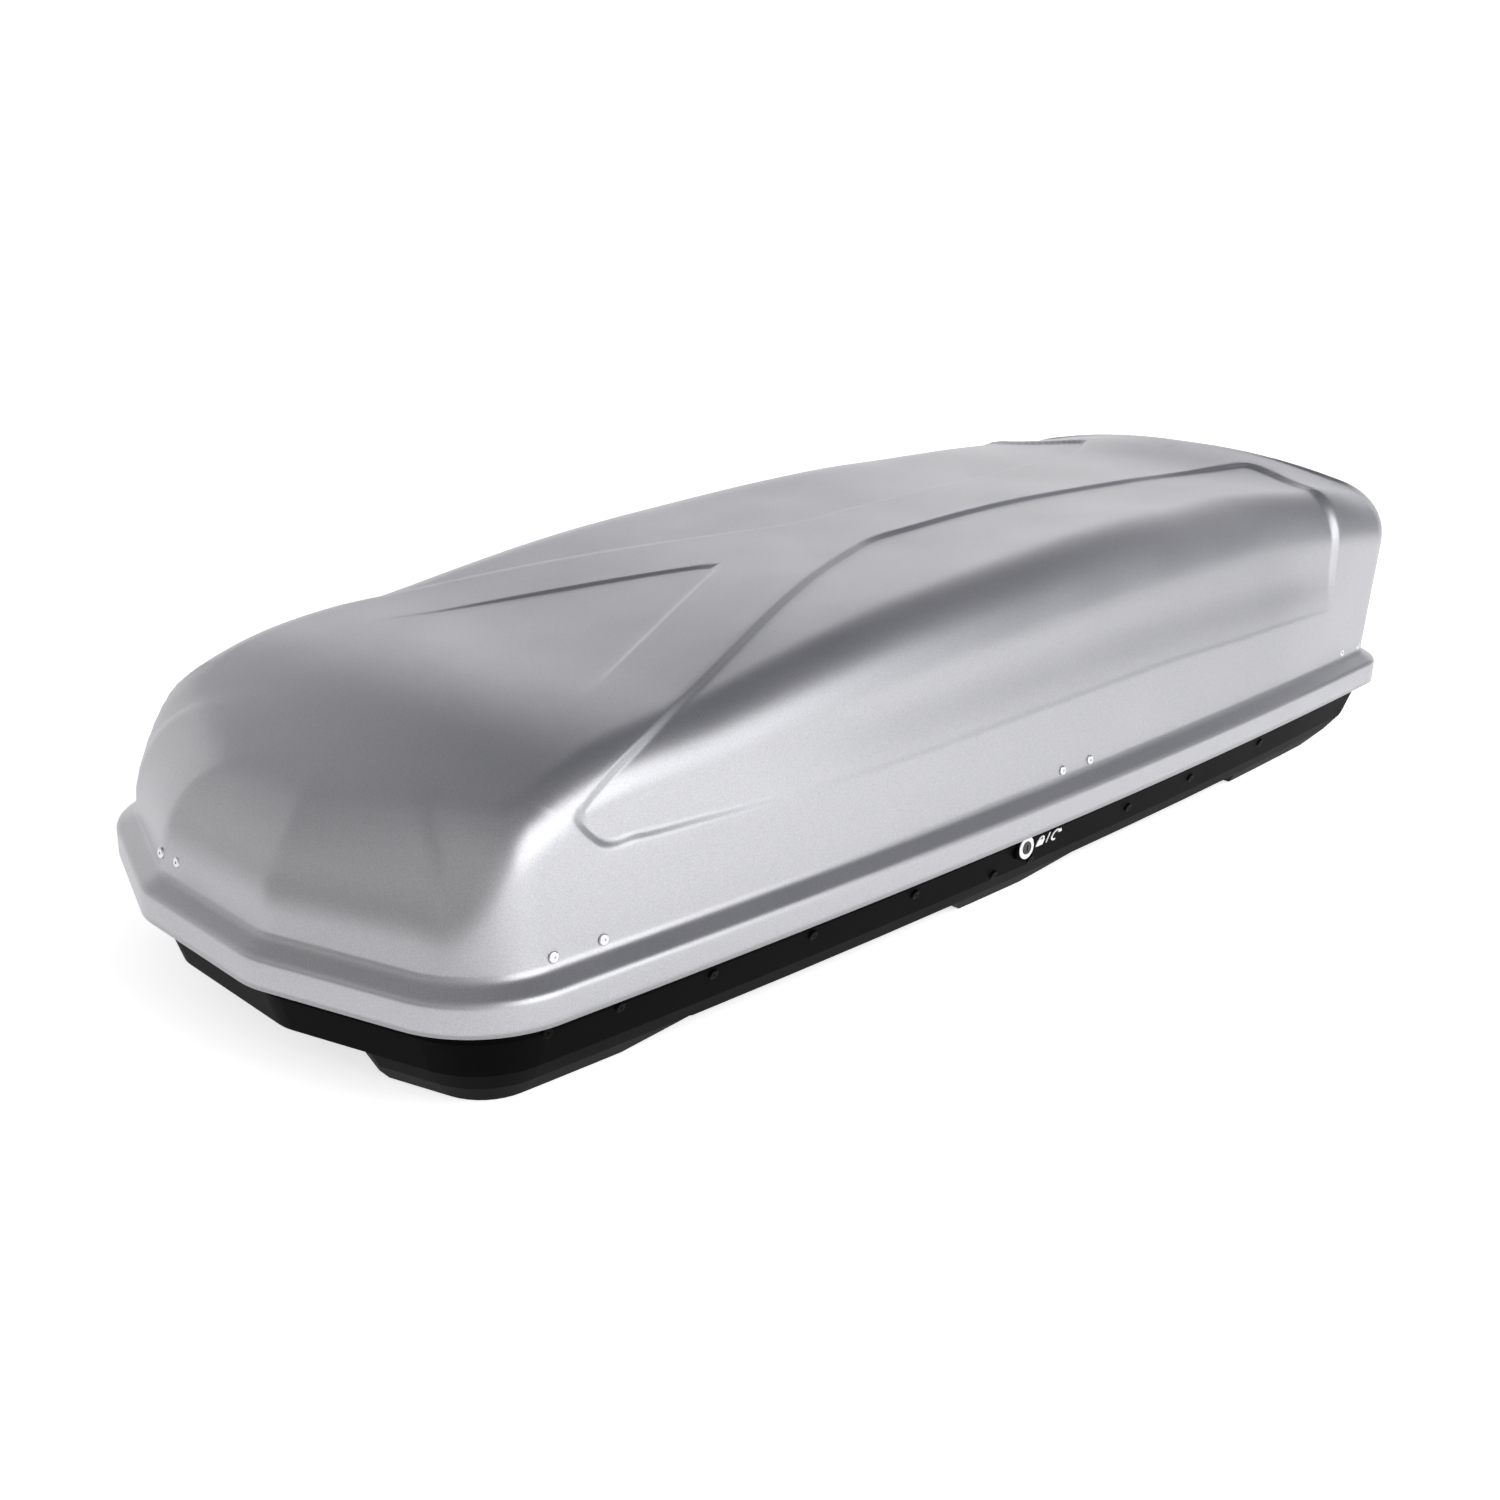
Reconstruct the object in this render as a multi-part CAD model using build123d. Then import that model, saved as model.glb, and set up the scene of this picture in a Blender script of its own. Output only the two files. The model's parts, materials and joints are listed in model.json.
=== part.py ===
"""Roof cargo box for a car: silver lid on a black base, side opening, with lock rail and bar clamps.

Millimetres. +X is towards the nose, +Y towards the side with the lock, +Z up. The origin is on the
ground under the middle of the box. A station is a distance back from the tip of the nose.
"""
from build123d import *
import math
import os

# Overall size
LENGTH = 1850.0
RIM_Z = 104.0            # lower edge of the lid's skirt above the ground

# Plan outline of the lid's rim
NOSE_HALF = 106.0        # half width of the flat tip of the nose
CHEEK_STATION = 84.7     # where the slanted cheek would meet the side
CHEEK_Y = 360.8
SIDE_BOW = 64.84         # the side bows out: CHEEK_Y + SIDE_BOW s - SIDE_FALL s^2, s in metres
SIDE_FALL = 35.97
NOSE_R = 100.0
CHEEK_R = 130.0
REAR_R = 80.0
CURVE_SPARE = 1.2        # flat pieces stay this far off the curved walls

# Lid
LID_T = 3.5
SKIRT_H = 33.0
LEDGE_IN = 23.0
LEDGE_RISE = 13.0
LEDGE_Z = RIM_Z + SKIRT_H + LEDGE_RISE
WALL_LEAN = 0.139        # inward lean of the lid's wall per unit of height
WALL_SPARE = 1.5         # the roof's sections are this much wider than the wall, which trims them
PANEL_DEEP = 5.0
PANEL_LOW_Z = RIM_Z + 140.0
LID_INNER_FOOT = LEDGE_IN + LID_T

# Roof sections: station, height on the centre line, drop from there to the wall, shoulder radius.
# Heights are above the skirt's lower edge. A negative drop is a roof with a shallow valley.
ROOF = (
    (-10.0, 122.0, 8.0, 50.0),
    (235.0, 222.0, 10.0, 54.0),
    (600.0, 270.0, -7.0, 70.0),
    (1000.0, 301.0, -12.0, 86.0),
    (1350.0, 311.0, -12.0, 86.0),
    (1620.0, 313.0, 6.0, 84.0),
    (1870.0, 336.0, 52.0, 80.0),
)
# Side view of the roof's ends, just above the sections between them
SIDE_VIEW = ((20.0, 0.0), (32.0, 141.0), (235.0, 224.0), (600.0, 282.0), (1000.0, 318.0), (1350.0, 328.0),
             (1812.0, 333.0), (1832.0, 0.0))
HOOD_R = 105.0
TAIL_R = 60.0
# Recessed side panel seen from above: station and half width
PANEL_PLAN = ((226.0, 328.0), (337.0, 305.0), (900.0, 74.0), (1031.0, 66.0), (1467.0, 88.0), (1738.0, 145.0),
              (1712.0, 200.0), (1670.0, 287.0), (1650.0, 345.0), (1650.0, 420.0), (249.0, 420.0))

# Base
BASE_T = 4.0
BASE_INSET = 25.0
BASE_TOP = 22.0          # rim of the tub above the skirt's lower edge, hidden inside the lid
# Tub wall: height above the skirt's lower edge and inset from the rim outline
TUB_WALL = ((BASE_TOP, 25.0), (-20.0, 25.0), (-60.0, 38.0), (-80.0, 50.0), (-104.0, 70.0))
# Underside seen from the side: station and height above the skirt's lower edge
UNDERSIDE = ((330.0, -60.0), (377.0, -82.0), (800.0, -82.0), (829.0, -104.0), (950.0, -104.0),
             (1035.0, -82.0), (1455.0, -82.0), (1480.0, -104.0), (1716.0, -104.0),
             (1800.0, -41.0), (1900.0, -41.0))
FRONT_POD = ((66.0, -50.0), (96.0, -104.0), (298.0, -104.0), (377.0, -78.0), (377.0, -50.0))
FRONT_POD_Y = 185.0
FLOOR_Z = RIM_Z - 82.0 + BASE_T      # inner face of the channel floors

# Hinges on the -Y side, strikers on the +Y side
HINGE_STATIONS = {"front": 212.0, "mid": 986.0, "rear": 1744.0}
HINGE_Y = -357.0
HINGE_Z = RIM_Z + 8.0
PIN_R = 3.0
RUN_GAP = 0.05
KNUCKLE_R = 6.0
LID_KNUCKLE = 12.0       # half length of the lid's knuckle
BASE_KNUCKLE = 33.0      # outer end of the base's two knuckles
NOTCH_HALF = 42.0
PLATE_T = 2.5
STRAP_HALF = 38.0
RIVET_Z = RIM_Z + 56.0
RIVET_PITCH = 58.0

# Gas struts
STRUT_STATIONS = {"front": 150.0, "rear": 1680.0}
STRUT_WALL_Y = {"front": -322.5, "rear": -341.5}
STRUT_FOOT = (-302.0, RIM_Z - 35.0)
STRUT_HEAD = (-87.0, RIM_Z + 67.0)
TUBE_R = 9.5
ROD_R = 4.0
STUD_R = 4.0
EYE_HALF = 6.0

# Lock rail on the +Y side
RAIL_Y = (326.0, 330.0)
RAIL_Z = (RIM_Z - 2.0, RIM_Z + 12.0)
RAIL_STATIONS = (165.0, 1758.0)
STRIKER_PIN_R = 3.5
STRIKER_PIN_Z = RIM_Z + 16.0
STRIKER_LEG_Y = (333.5, 336.5)
HOOK_START = 6.0
HOOK_LENGTH = 38.0
GUIDE_STATIONS = (330.0, 700.0, 1230.0, 1600.0)
LOCK_STATION = 892.0
LOCK_Z = RIM_Z - 27.0
LOCK_FACE_Y = 365.5
BARREL_R = 8.0
SLEEVE_R = 11.0
CRANK_R = 19.8
CRANK_PIN_R = 3.0

# Bar clamps, two in each channel
CLAMP_STATIONS = (580.0, 1240.0)
CLAMP_Y = 230.0
CLAMP_HALF = (70.0, 30.0)
CLAMP_H = 36.0
CLAW_PIVOT = (34.0, FLOOR_Z + 8.0)
CLAW_REST_DEG = 25.0
CLAW_ARM = 42.0
CLAW_TOOTH = 12.0
CLAW_HALF_T = 4.0
CLAW_HALF_W = 7.0
SLOT_X = (26.0, 75.0)
SLOT_HALF_W = 9.0


def station(distance):
    return LENGTH / 2 - distance


def side_y(distance):
    metres = (distance - CHEEK_STATION) / 1000
    return CHEEK_Y + SIDE_BOW * metres - SIDE_FALL * metres ** 2


def clear_side(distance, half_width):
    """Half width of the rim over a flat piece, at its narrower end and clear of the curve."""
    return min(side_y(distance - half_width), side_y(distance + half_width)) - CURVE_SPARE


# Small shapes ------------------------------------------------------------------------------

def block(x, y, z):
    """Box between pairs of limits."""
    size = [max(pair) - min(pair) for pair in (x, y, z)]
    middle = [sum(pair) / 2 for pair in (x, y, z)]
    return Pos(*middle) * Box(*size)


def rod_x(x, y, z, radius):
    return Pos(sum(x) / 2, y, z) * Rot(0, 90, 0) * Cylinder(radius, abs(x[1] - x[0]))


def rod_y(x, y, z, radius):
    return Pos(x, sum(y) / 2, z) * Rot(90, 0, 0) * Cylinder(radius, abs(y[1] - y[0]))


def rod_z(x, y, z, radius):
    return Pos(x, y, sum(z) / 2) * Cylinder(radius, abs(z[1] - z[0]))


def face_of(points):
    return make_face(Polyline(*points, close=True))


def across_x(points, x):
    """Outline given as (y, z), extruded between two x limits."""
    plane = Plane(origin=(min(x), 0, 0), x_dir=(0, 1, 0), z_dir=(1, 0, 0))
    return extrude(plane * face_of(points), amount=abs(x[1] - x[0]))


def across_y(face, y):
    """Face drawn in (x, z), extruded between two y limits."""
    plane = Plane(origin=(0, max(y), 0), x_dir=(1, 0, 0), z_dir=(0, -1, 0))
    return extrude(plane * face, amount=abs(y[1] - y[0]))


# Outlines and shells -----------------------------------------------------------------------

def rim_outline():
    """Plan outline of the lid's skirt, with its corners rounded."""
    nose_x = station(0)
    cheek_x = station(CHEEK_STATION)
    rear_x = station(LENGTH)
    middle = (CHEEK_STATION + LENGTH) / 2
    rear_y = side_y(LENGTH)
    outline = make_face([
        Line((nose_x, -NOSE_HALF), (nose_x, NOSE_HALF)),
        Line((nose_x, NOSE_HALF), (cheek_x, CHEEK_Y)),
        ThreePointArc((cheek_x, CHEEK_Y), (station(middle), side_y(middle)), (rear_x, rear_y)),
        Line((rear_x, rear_y), (rear_x, -rear_y)),
        ThreePointArc((rear_x, -rear_y), (station(middle), -side_y(middle)), (cheek_x, -CHEEK_Y)),
        Line((cheek_x, -CHEEK_Y), (nose_x, -NOSE_HALF)),
    ])
    for x, radius in ((nose_x, NOSE_R), (cheek_x, CHEEK_R), (rear_x, REAR_R)):
        corners = [v for v in outline.vertices() if abs(v.X - x) < 1.0]
        outline = fillet(corners, radius)
    return outline


RIM = rim_outline()


def plan(inset, z):
    face = offset(RIM, amount=-inset) if inset else RIM
    return Pos(0, 0, z) * face


def lid_skirt(t):
    """Skirt and sloping ledge, inset by t for the inner face."""
    ledge_z = RIM_Z + SKIRT_H - 0.585 * t
    low = plan(t, RIM_Z - (1.0 if t else 0.0))
    band = extrude(low, amount=ledge_z - RIM_Z + (1.0 if t else 0.0))
    ledge = loft([plan(t, ledge_z), plan(LEDGE_IN + t, ledge_z + LEDGE_RISE)], ruled=True)
    return band + ledge


def roof_section(row, t):
    """Section across the box: leaning walls, rounded shoulders and a roof that is nearly flat."""
    distance, crown, drop, radius = row
    top = RIM_Z + crown - t
    shoulder_z = RIM_Z + crown - drop - t
    foot_z = LEDGE_Z - 14.0
    lean = WALL_LEAN * (shoulder_z - LEDGE_Z)
    shoulder_y = side_y(distance) - LEDGE_IN - t - lean + WALL_SPARE
    foot_y = shoulder_y + WALL_LEAN * (shoulder_z - foot_z)
    plane = Plane(origin=(station(distance), 0, 0), x_dir=(0, 1, 0), z_dir=(1, 0, 0))
    section = make_face([
        Line((-foot_y, foot_z), (foot_y, foot_z)),
        Line((foot_y, foot_z), (shoulder_y, shoulder_z)),
        ThreePointArc((shoulder_y, shoulder_z), (0, top), (-shoulder_y, shoulder_z)),
        Line((-shoulder_y, shoulder_z), (-foot_y, foot_z)),
    ])
    shoulders = [v for v in section.vertices() if abs(v.Y - shoulder_z) < 1.0]
    return plane * fillet(shoulders, radius - t)


def roof_ends(t):
    """Side view of the box between the nose and the tail, as a prism across it."""
    view = face_of([(station(d), RIM_Z + z) for d, z in SIDE_VIEW])
    for distance, radius in ((SIDE_VIEW[1][0], HOOD_R), (SIDE_VIEW[-2][0], TAIL_R)):
        corner = [v for v in view.vertices() if abs(v.X - station(distance)) < 1.0]
        view = fillet(corner, radius)
    if t:
        view = offset(view, amount=-t)
    return across_y(view, (-420.0, 420.0))


def lid_body(t):
    """Everything above the ledge, inset by t."""
    roof = loft([roof_section(row, t) for row in ROOF])
    low_z = LEDGE_Z - 10.0
    high_z = RIM_Z + 360.0
    walls = loft([
        plan(LEDGE_IN + t - WALL_LEAN * 10.0, low_z),
        plan(LEDGE_IN + t + WALL_LEAN * (high_z - LEDGE_Z), high_z),
    ], ruled=True)
    return roof & walls & roof_ends(t)


def panel_prisms(t):
    """Both side panels as upright prisms, grown by t for the inner face."""
    outline = face_of([(station(d), y) for d, y in PANEL_PLAN])
    if t:
        outline = offset(outline, amount=t)
    prism = extrude(Pos(0, 0, PANEL_LOW_Z - t) * outline, amount=250.0)
    return [prism, mirror(prism, about=Plane.XZ)]


def recessed_body(t):
    body = lid_body(t)
    floor = lid_body(t + PANEL_DEEP)
    for prism in panel_prisms(t):
        body = body - (prism - floor)
    return body


def lid_shell():
    outer = lid_skirt(0) + recessed_body(0)
    inner = lid_skirt(LID_T) + recessed_body(LID_T)
    return outer - inner


def underside_prism(t):
    """Region above the underside, with the two front pods below it."""
    top = RIM_Z + 60.0
    points = [(station(d), RIM_Z + z) for d, z in UNDERSIDE]
    front = [(station(-50.0), top), (station(-50.0), RIM_Z - 60.0)]
    view = face_of(front + points + [(station(1900.0), top)])
    pod = face_of([(station(d), RIM_Z + z) for d, z in FRONT_POD])
    if t:
        view = offset(view, amount=-t)
        pod = offset(pod, amount=-t)
        mouth = [(80.0, -48.0), (80.0, -60.0), (340.0, -60.0), (340.0, -48.0)]
        pod = pod + face_of([(station(d), RIM_Z + z) for d, z in mouth])
    region = across_y(view, (-420.0, 420.0))
    for limits in ((FRONT_POD_Y + t, 420.0), (-420.0, -FRONT_POD_Y - t)):
        region = region + across_y(pod, limits)
    return region


def tub(t):
    spare = 1.0 if t else 0.0
    levels = [plan(inset + t, RIM_Z + z) for z, inset in TUB_WALL]
    body = loft(levels[::-1], ruled=True)
    if t:
        body = body + extrude(plan(BASE_INSET + t, RIM_Z + BASE_TOP - 1.0), amount=1.0 + spare)
    return body & underside_prism(t)


def clamp_places():
    """Middle of each clamp: front pair, then rear pair."""
    return [(station(d), side * CLAMP_Y) for d in CLAMP_STATIONS for side in (1, -1)]


def base_shell():
    shell = tub(0) - tub(BASE_T)
    for distance in HINGE_STATIONS.values():
        x = station(distance)
        notch_y = (-side_y(distance) + BASE_INSET - 3.0, -side_y(distance) + BASE_INSET + BASE_T + 3.0)
        shell = shell - block((x - NOTCH_HALF, x + NOTCH_HALF), notch_y, (RIM_Z + 1.0, RIM_Z + 30.0))
    lock_x = station(LOCK_STATION)
    shell = shell + rod_y(lock_x, (354.0, LOCK_FACE_Y), LOCK_Z, 18.0)
    shell = shell - rod_y(lock_x, (340.0, 380.0), LOCK_Z, SLEEVE_R + RUN_GAP)
    for x, y in clamp_places():
        for side in (1, -1):
            slot_x = (x + side * SLOT_X[0], x + side * SLOT_X[1])
            slot = block(slot_x, (y - SLOT_HALF_W, y + SLOT_HALF_W), (RIM_Z - 90.0, RIM_Z - 70.0))
            shell = shell - slot
    return shell


# Hinges ------------------------------------------------------------------------------------

def ring_x(x, radius, bore):
    return rod_x(x, HINGE_Y, HINGE_Z, radius) - rod_x((x[0] - 1, x[1] + 1), HINGE_Y, HINGE_Z, bore)


def hinge_base_leaf(distance):
    """Leaf on the tub's inner wall, with a tongue over the notch to two knuckles."""
    x = station(distance)
    wall = -clear_side(distance, STRAP_HALF) + BASE_INSET + BASE_T
    leaf = block((x - STRAP_HALF, x + STRAP_HALF), (wall, wall + PLATE_T), (RIM_Z - 18.0, RIM_Z + 3.4))
    tongue_y = (min(HINGE_Y, wall), max(HINGE_Y, wall + PLATE_T))
    leaf = leaf + block((x - BASE_KNUCKLE, x + BASE_KNUCKLE), tongue_y, (RIM_Z + 2.0, RIM_Z + 3.4))
    gap_x = (x - LID_KNUCKLE - 1, x + LID_KNUCKLE + 1)
    leaf = leaf - block(gap_x, (wall - 40, wall + 40), (RIM_Z - 2.0, RIM_Z + 30.0))
    for side in (1, -1):
        ends = sorted((x + side * (LID_KNUCKLE + 1.0), x + side * BASE_KNUCKLE))
        leaf = leaf + rod_x(ends, HINGE_Y, HINGE_Z, KNUCKLE_R)
        leaf = leaf - rod_x((ends[0] - 0.5, ends[1] + 0.5), HINGE_Y, HINGE_Z, PIN_R + RUN_GAP)
    return leaf


def hinge_pin(distance):
    x = station(distance)
    end = BASE_KNUCKLE + 0.3
    pin = rod_x((x - end - 1.5, x + end + 1.5), HINGE_Y, HINGE_Z, PIN_R)
    for side in (1, -1):
        head = sorted((x + side * end, x + side * (end + 1.5)))
        pin = pin + rod_x(head, HINGE_Y, HINGE_Z, PIN_R + 1.2)
    return pin


def hinge_lid_strap(distance):
    """Knuckle, neck and riveted plate on the lid's inner wall."""
    x = station(distance)
    wall = -clear_side(distance, STRAP_HALF) + LID_INNER_FOOT
    plate_y = (wall + 3.2, wall + 3.2 + PLATE_T)
    neck_y = (HINGE_Y - PLATE_T / 2, HINGE_Y + PLATE_T / 2)
    jog_z = (RIM_Z + 26.0, RIM_Z + 29.0) if plate_y[0] > HINGE_Y else (RIM_Z + 45.0, RIM_Z + 48.0)
    narrow = (x - LID_KNUCKLE, x + LID_KNUCKLE)
    strap = rod_x(narrow, HINGE_Y, HINGE_Z, KNUCKLE_R)
    strap = strap + block(narrow, neck_y, (HINGE_Z, jog_z[1]))
    jog_y = (min(neck_y[0], plate_y[0]), max(neck_y[1], plate_y[1]))
    strap = strap + block(narrow, jog_y, jog_z)
    strap = strap + block(narrow, plate_y, (jog_z[0], RIM_Z + 60.0))
    strap = strap + block((x - STRAP_HALF, x + STRAP_HALF), plate_y, (RIM_Z + 46.0, RIM_Z + 68.0))
    return strap - rod_x((x - 40, x + 40), HINGE_Y, HINGE_Z, PIN_R + RUN_GAP)


# Gas struts --------------------------------------------------------------------------------

def strut_plane(name):
    """Plane at the strut's foot with its normal along the strut."""
    run = (0, STRUT_HEAD[0] - STRUT_FOOT[0], STRUT_HEAD[1] - STRUT_FOOT[1])
    origin = (station(STRUT_STATIONS[name]), STRUT_FOOT[0], STRUT_FOOT[1])
    return Plane(origin=origin, x_dir=(1, 0, 0), z_dir=run)


STRUT_LENGTH = math.hypot(STRUT_HEAD[0] - STRUT_FOOT[0], STRUT_HEAD[1] - STRUT_FOOT[1])
TUBE_START = 16.0
TUBE_END = 150.0
ROD_START = 60.0


def strut_tube(name):
    plane = strut_plane(name)
    x = station(STRUT_STATIONS[name])
    eye_x = (x - EYE_HALF, x + EYE_HALF)
    tube = plane * (Pos(0, 0, (TUBE_START + TUBE_END) / 2) * Cylinder(TUBE_R, TUBE_END - TUBE_START))
    tube = tube + plane * (Pos(0, 0, TUBE_START / 2) * Cylinder(5.5, TUBE_START + 1.0))
    tube = tube - plane * (Pos(0, 0, (22 + TUBE_END - 6) / 2) * Cylinder(8.0, TUBE_END - 28))
    tube = tube - plane * (Pos(0, 0, TUBE_END) * Cylinder(ROD_R + RUN_GAP, 40))
    tube = tube + rod_x(eye_x, *STRUT_FOOT, 8.0)
    return tube - rod_x((x - 10, x + 10), *STRUT_FOOT, STUD_R + RUN_GAP)


def strut_rod(name):
    """Rod with its piston inside the tube and a ball cup at the lid."""
    plane = strut_plane(name)
    x = station(STRUT_STATIONS[name])
    end = STRUT_LENGTH - 4.0
    rod = plane * (Pos(0, 0, (ROD_START + end) / 2) * Cylinder(ROD_R, end - ROD_START))
    rod = rod + plane * (Pos(0, 0, ROD_START + 4) * Cylinder(7.7, 8))
    rod = rod + rod_x((x - EYE_HALF, x + EYE_HALF), *STRUT_HEAD, 7.5)
    outer = 1 if name == "front" else -1
    cup = sorted((x + outer * 1.0, x + outer * (EYE_HALF + 1)))
    return rod - rod_x(cup, *STRUT_HEAD, 5.0)


def strut_base_bracket(name):
    """Plate on the tub's wall with a web and the stud that carries the strut's eye."""
    x = station(STRUT_STATIONS[name])
    outer = 1 if name == "front" else -1
    wall = STRUT_WALL_Y[name]
    bracket = block((x - 20, x + 20), (wall, wall + PLATE_T), (RIM_Z - 16.0, RIM_Z + 14.0))
    foot_y, foot_z = STRUT_FOOT
    web = [(wall, RIM_Z), (wall, RIM_Z - 16), (foot_y - 7, foot_z - 8), (foot_y + 8, foot_z - 8),
           (foot_y + 8, foot_z + 2), (foot_y - 8, foot_z + 9), (wall + 5, RIM_Z)]
    web_x = sorted((x + outer * (EYE_HALF + 1), x + outer * (EYE_HALF + 4)))
    bracket = bracket + across_x(web, web_x)
    stud_x = sorted((x - outer * EYE_HALF, x + outer * (EYE_HALF + 2)))
    return bracket + rod_x(stud_x, foot_y, foot_z, STUD_R)


def strut_lid_bracket(name):
    """Plate on the lid's end wall and an arm to the stud beside the strut's cup."""
    x = station(STRUT_STATIONS[name])
    outer = 1 if name == "front" else -1
    wall_x = station(37.0) if name == "front" else station(1815.0)
    head_y, head_z = STRUT_HEAD
    plate_x = sorted((wall_x, wall_x - outer * PLATE_T))
    bracket = block(plate_x, (head_y - 26, head_y + 26), (head_z - 11, head_z + 11))
    arm_x = sorted((wall_x - outer * 1, x + outer * (EYE_HALF + 6)))
    bracket = bracket + block(arm_x, (head_y - 3, head_y + 3), (head_z - 8, head_z + 8))
    stud_x = sorted((x + outer * (EYE_HALF + 1.5), x + outer * (EYE_HALF + 8)))
    return bracket + rod_x(stud_x, head_y, head_z, STUD_R)


# Central lock ------------------------------------------------------------------------------

def striker(distance):
    """Plate riveted to the lid's wall, with a leg and the cross pin that a hook catches."""
    x = station(distance)
    wall = clear_side(distance, STRAP_HALF) - LID_INNER_FOOT
    plate_y = (wall - 3.2 - PLATE_T, wall - 3.2)
    part = block((x - STRAP_HALF, x + STRAP_HALF), plate_y, (RIM_Z + 46.0, RIM_Z + 68.0))
    part = part + block((x - 10, x + 10), (STRIKER_LEG_Y[0], plate_y[1]), (RIM_Z + 46.0, RIM_Z + 50.0))
    part = part + block((x - 10, x + 10), STRIKER_LEG_Y, (RIM_Z + 9.0, RIM_Z + 50.0))
    return part + rod_y(x, (318.0, STRIKER_LEG_Y[1]), STRIKER_PIN_Z, STRIKER_PIN_R)


def lock_rail():
    x = (station(RAIL_STATIONS[1]), station(RAIL_STATIONS[0]))
    return block(x, RAIL_Y, RAIL_Z)


def lock_hook(distance):
    """Post on the rail with a finger that slides over the striker's pin."""
    x = station(distance)
    start = x + HOOK_START
    end = start + HOOK_LENGTH
    hook = block((end - 10, end), RAIL_Y, (RAIL_Z[1], RIM_Z + 26.0))
    hook = hook + block((start, end), RAIL_Y, (STRIKER_PIN_Z + STRIKER_PIN_R + 1.0, RIM_Z + 26.0))
    return hook


def crank_pin_place():
    """The crank rests 45 degrees towards the nose."""
    reach = CRANK_R * math.sqrt(0.5)
    return station(LOCK_STATION) + reach, LOCK_Z + reach


def lock_drive_plate():
    """Plate below the rail with the upright slot that the crank's pin works in."""
    x, z = crank_pin_place()
    plate = block((x - 11, x + 11), RAIL_Y, (z - 7.5, RAIL_Z[0]))
    return plate - block((x - 3.9, x + 3.9), (RAIL_Y[0] - 1, RAIL_Y[1] + 1), (z - 4.5, RAIL_Z[0] - 1.5))


def lock_crank():
    x, z = crank_pin_place()
    axis_x = station(LOCK_STATION)
    y = (334.0, 338.0)
    mid = Plane(origin=(axis_x, y[1], LOCK_Z), x_dir=(1, 0, 1), z_dir=(0, -1, 0))
    arm = extrude(mid * (Pos(CRANK_R / 2, 0) * SlotCenterToCenter(CRANK_R, 12.0)), amount=4.0)
    return arm + rod_y(x, (324.0, y[1]), z, CRANK_PIN_R)


def lock_barrel():
    """Cylinder with a keyway in its face."""
    x = station(LOCK_STATION)
    barrel = rod_y(x, (338.0, LOCK_FACE_Y + 3.0), LOCK_Z, BARREL_R)
    keyway = block((x - 1.0, x + 1.0), (LOCK_FACE_Y - 5.0, LOCK_FACE_Y + 4.0), (LOCK_Z - 4.5, LOCK_Z + 4.5))
    return barrel - keyway


def lock_sleeve():
    x = station(LOCK_STATION)
    sleeve = rod_y(x, (341.0, LOCK_FACE_Y + 1.0), LOCK_Z, SLEEVE_R)
    sleeve = sleeve + rod_y(x, (341.0, 345.0), LOCK_Z, SLEEVE_R + 4.0)
    return sleeve - rod_y(x, (330.0, 380.0), LOCK_Z, BARREL_R + RUN_GAP)


def lock_bezel():
    x = station(LOCK_STATION)
    ring = rod_y(x, (LOCK_FACE_Y + 1.0, LOCK_FACE_Y + 2.0), LOCK_Z, 14.0)
    return ring - rod_y(x, (LOCK_FACE_Y, LOCK_FACE_Y + 3.0), LOCK_Z, BARREL_R + 0.3)


def rail_guide(distance):
    """Block on the tub's wall that the rail slides through."""
    x = station(distance)
    wall = clear_side(distance, 15.0) - BASE_INSET - BASE_T
    guide = block((x - 15, x + 15), (321.0, 335.0), (RIM_Z - 8.0, RIM_Z + 18.0))
    guide = guide + block((x - 15, x + 15), (334.0, wall + 0.9), (RIM_Z - 6.0, RIM_Z + 10.0))
    slot_y = (RAIL_Y[0] - 0.3, RAIL_Y[1] + 0.3)
    return guide - block((x - 20, x + 20), slot_y, (RAIL_Z[0] - 0.3, RAIL_Z[1] + 0.3))


# Bar clamps --------------------------------------------------------------------------------

def clamp_housing(x, y):
    """Cover on the channel floor with the claws' bearings in its cheeks."""
    half_x, half_y = CLAMP_HALF
    top = FLOOR_Z + CLAMP_H
    cover = Box(2 * half_x, 2 * half_y, CLAMP_H)
    housing = Pos(x, y, (FLOOR_Z + top) / 2) * fillet(cover.edges().filter_by(Axis.Z), 8.0)
    hollow_x = (x - half_x + 3, x + half_x - 3)
    hollow_y = (y - half_y + 3, y + half_y - 3)
    housing = housing - block(hollow_x, hollow_y, (FLOOR_Z - 5, top - 3))
    for side in (1, -1):
        pivot_x = x + side * CLAW_PIVOT[0]
        housing = housing - rod_y(pivot_x, (y - half_y - 1, y + half_y + 1), CLAW_PIVOT[1], 4.0 + RUN_GAP)
    return housing - rod_z(x, y, (top - 10, top + 10), 6.0 + RUN_GAP)


def clamp_knob(x, y):
    """Scalloped knob on its screw."""
    top = FLOOR_Z + CLAMP_H
    knob = rod_z(x, y, (top + 1.0, top + 19.0), 25.0)
    for turn in range(8):
        angle = math.radians(45 * turn)
        knob = knob - rod_z(x + 29 * math.cos(angle), y + 29 * math.sin(angle), (top, top + 20), 7.0)
    return knob + rod_z(x, y, (FLOOR_Z + 10.0, top + 2.0), 6.0)


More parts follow.
